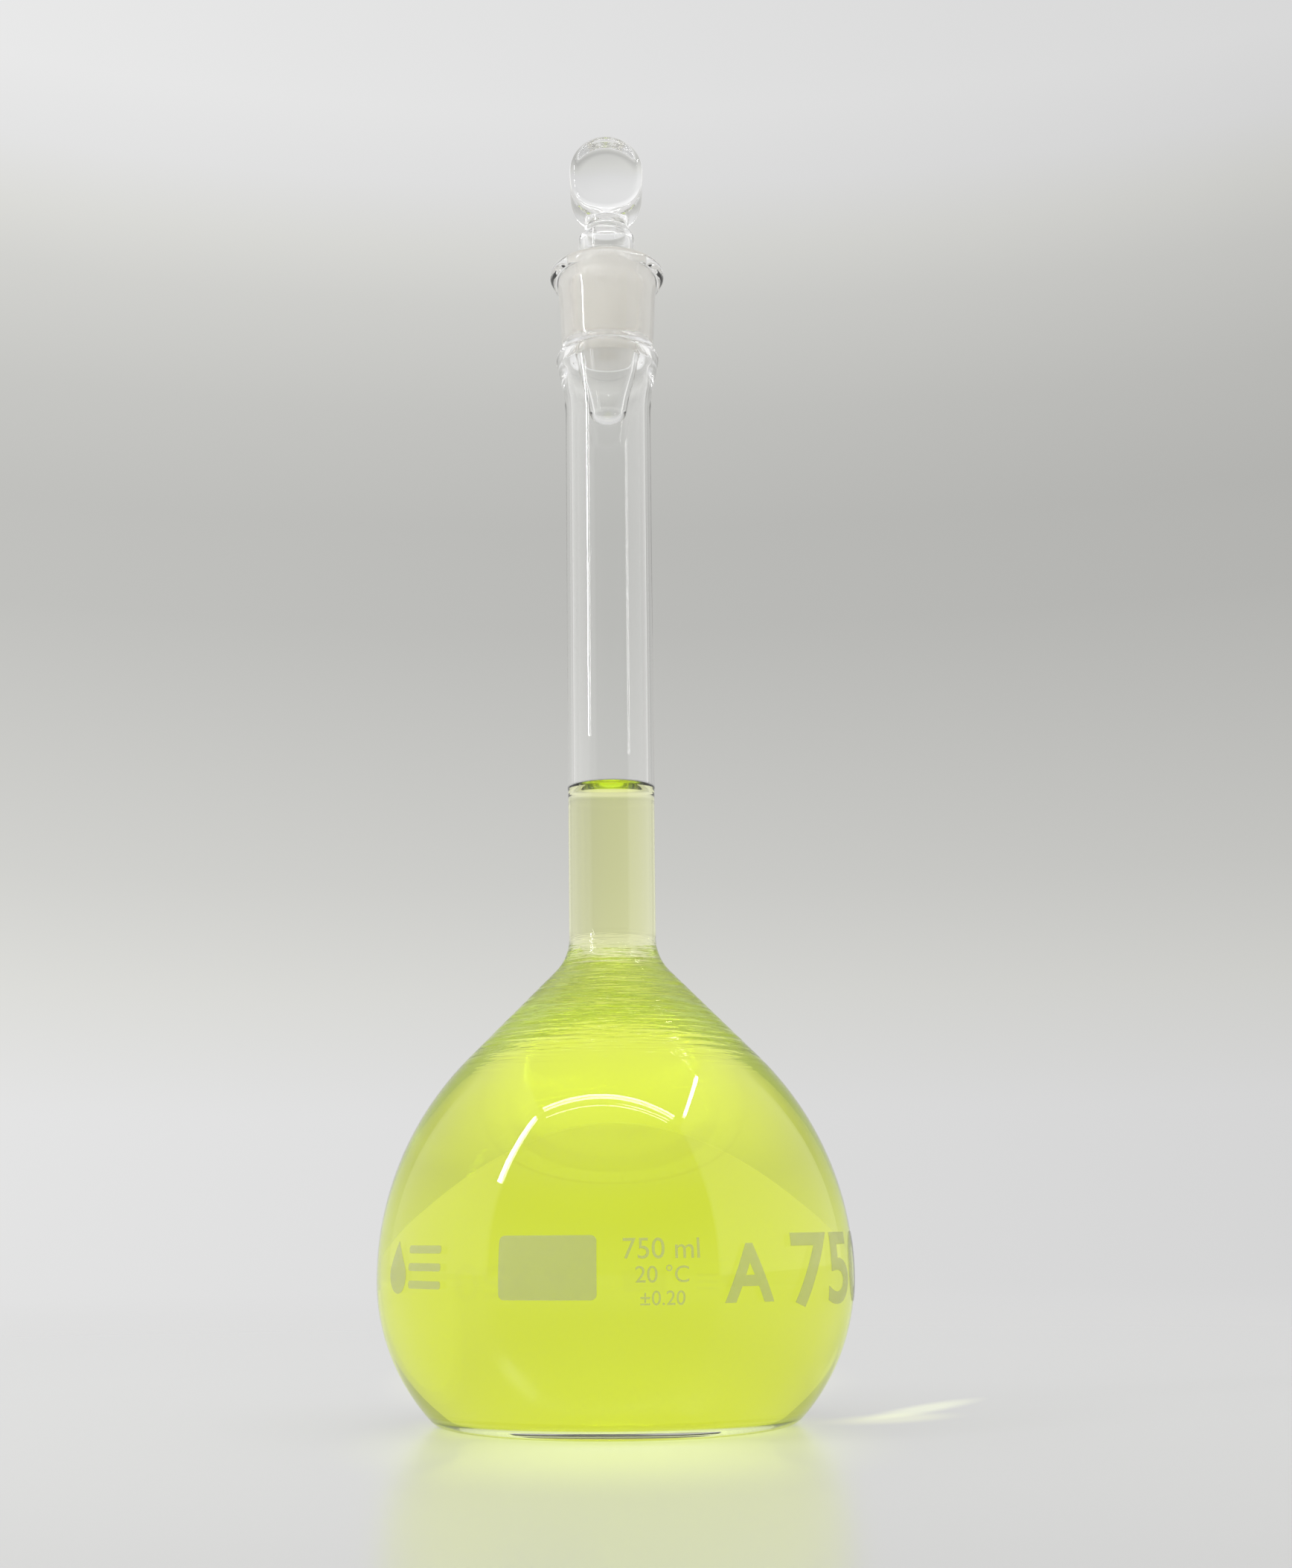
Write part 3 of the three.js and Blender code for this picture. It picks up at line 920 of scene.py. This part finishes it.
def studio_tent():
    """A round room about the flask, with a domed roof and no corner at the floor."""
    wall = TENT_RADIUS / MM
    corner = TENT_FILLET / MM
    outline = [(0, 0), (wall - corner, 0)]
    outline += arc((wall - corner, corner), corner, -90, 0, 12)[1:]
    outline += arc((0, TENT_WALL / MM), wall, 0, 90, 30, (TENT_TOP - TENT_WALL) / TENT_RADIUS)
    outline[-1] = (0, TENT_TOP / MM)
    lathe = Lathe(TENT_STEPS)
    lathe.turn(divided(outline, TENT_STRETCH)[::-1])
    tent = new_object("studio_tent", lathe.verts, lathe.faces, [tent_material()])


def strip_light(name, start, end, width, radiance):
    """A lamp tube between two places in millimetres, facing the flask, that only lights
    and mirrors: the camera doesn't see it."""
    a, b = Vector(start) * MM, Vector(end) * MM
    middle = (a + b) / 2
    lamp = bpy.data.lights.new(name, "AREA")
    lamp.shape = "RECTANGLE"
    lamp.size = (b - a).length
    lamp.size_y = width * MM
    lamp.energy = radiance * math.pi * lamp.size * lamp.size_y
    placed = bpy.data.objects.new(name, lamp)
    along = (b - a).normalized()
    back = middle - Vector((0, 0, LAMP_AIM))
    back = (back - along * back.dot(along)).normalized()
    across = back.cross(along)
    placed.matrix_world = (Matrix.Translation(middle)
                           @ Matrix((along, across, back)).transposed().to_4x4())
    placed.visible_camera = False
    bpy.context.scene.collection.objects.link(placed)


def glowing_card(name, corners, radiance):
    """A flat wall of the light box round the flask, in millimetres. The camera doesn't see
    it and it casts no light on the floor: it is there for the glass to mirror and bend."""
    material, nodes, links, shader = new_material(name)
    nodes.remove(shader)
    glow = nodes.new("ShaderNodeEmission")
    glow.inputs["Color"].default_value = BOX_COLOUR
    glow.inputs["Strength"].default_value = radiance
    links.new(glow.outputs["Emission"], nodes["Material Output"].inputs["Surface"])
    verts = [Vector(corner) * MM for corner in corners]
    card = new_object(name, verts, [tuple(range(len(verts)))], [material])
    card.visible_camera = False
    card.visible_diffuse = False
    card.visible_shadow = False
    return card


def upright(start, end, heights):
    """The corners of an upright wall between two places seen from above."""
    low, high = heights
    return [(*start, low), (*end, low), (*end, high), (*start, high)]


def light_box():
    """Bright side walls and ceiling, a low back, and a dimmer opening in front, just
    outside the lamps."""
    glowing_card("box_left", upright(BOX_FRONT_LEFT, BOX_BACK_LEFT, BOX_HEIGHTS),
                 BOX_WALL_RADIANCE)
    glowing_card("box_right", upright(BOX_FRONT_RIGHT, BOX_BACK_RIGHT, BOX_HEIGHTS),
                 BOX_WALL_RADIANCE)
    ceiling = (BOX_FRONT_LEFT, BOX_FRONT_RIGHT, BOX_BACK_RIGHT, BOX_BACK_LEFT)
    glowing_card("box_ceiling", [(*corner, BOX_HEIGHTS[1]) for corner in ceiling],
                 BOX_CEILING_RADIANCE)
    opening = glowing_card("box_opening",
                           upright(BOX_OPENING_LEFT, BOX_OPENING_RIGHT, BOX_HEIGHTS),
                           BOX_OPENING_RADIANCE)
    opening.visible_transmission = False
    behind = glowing_card("box_back", upright(BOX_BACK_LEFT, BOX_BACK_RIGHT, BOX_BACK_HEIGHTS),
                          BOX_BACK_RADIANCE)
    behind.visible_glossy = False


def camera():
    """The camera in front of the flask, low down and tilted up."""
    data = bpy.data.cameras.new("camera")
    data.lens = CAMERA_LENS
    data.sensor_width = CAMERA_SENSOR
    data.shift_x, data.shift_y = CAMERA_SHIFT
    data.clip_start, data.clip_end = CAMERA_CLIP
    placed = bpy.data.objects.new("camera", data)
    placed.matrix_world = (Matrix.Translation((0, -CAMERA_DISTANCE, CAMERA_HEIGHT))
                           @ Matrix.Rotation(math.radians(90 + CAMERA_PITCH), 4, "X")
                           @ Matrix.Rotation(math.radians(-CAMERA_ROLL), 4, "Z"))
    bpy.context.scene.collection.objects.link(placed)
    bpy.context.scene.camera = placed


# ---- Scene ----------------------------------------------------------------------

def place(piece, body, slot, *nodes):
    """Ties a piece to its body and hides the CAD nodes that it replaces. slot is not used."""
    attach(piece, body)
    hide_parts(*nodes)


CLEAR = clear_glass("clear_glass")
GROUND = ground_glass("ground_glass")
YELLOW = yellow_solution("yellow_solution")
ENAMEL = fired_enamel("fired_enamel")

place(flask_glass(CLEAR, GROUND), "flask", "clear_glass", "bulb", "neck_tube", "ground_socket")
place(stopper_glass(CLEAR, GROUND), "stopper_head", "stopper_glass", "stopper_plug",
      "stopper_head")
place(solution_body(YELLOW), "flask", "solution", "solution")
place(enamel_ring(ENAMEL), "flask", "enamel", "graduation_ring")

DROPLET = [droplet(-7, -2, 4.2, 12)] + [rounded_bar(4.5, y, 12, 1.8, 0.7) for y in (-4, 0, 4)]
PATCH = [rounded_bar(0, 0, 22.6, 14.1, 1.3)]
VOLUME = [("750 ml", 4.75, 0, 1.9, 0.0, 1), ("20 °C", 3.8, 0, -3.3, 0.0, 1),
          ("±0.20", 3.3, 0, -8.2, 0.0, 1)]
CLASS = [("A", 12.9, 0, -7.6, 0.45, 1)]
CAPACITY = [("750", 16.7, 0, -8.9, 0.4, 1.28)]

# The prints: name, flat faces, angle from the front in degrees, and CAD node
PRINTS = [
    ("maker_droplet", flat_shapes(DROPLET), -53, "maker_mark"),
    ("writing_patch_enamel", flat_shapes(PATCH), -15.2, "writing_patch"),
    ("volume_lines", flat_text(VOLUME), 10.2, "volume_text"),
    ("class_letter", flat_text(CLASS), 31, "class_mark"),
    ("capacity_750", flat_text(CAPACITY), 64, "capacity_numerals"),
]
for name, mesh, angle, node in PRINTS:
    place(wrapped(name, mesh, angle, ENAMEL), "flask", "enamel", node)

studio_tent()
light_box()
for lamp in LAMPS:
    strip_light(*lamp)
camera()
bpy.context.scene.view_settings.view_transform = "Standard"
bpy.context.scene.cycles.max_bounces = BOUNCES
bpy.context.scene.cycles.transmission_bounces = BOUNCES
bpy.context.scene.cycles.glossy_bounces = GLOSSY_BOUNCES
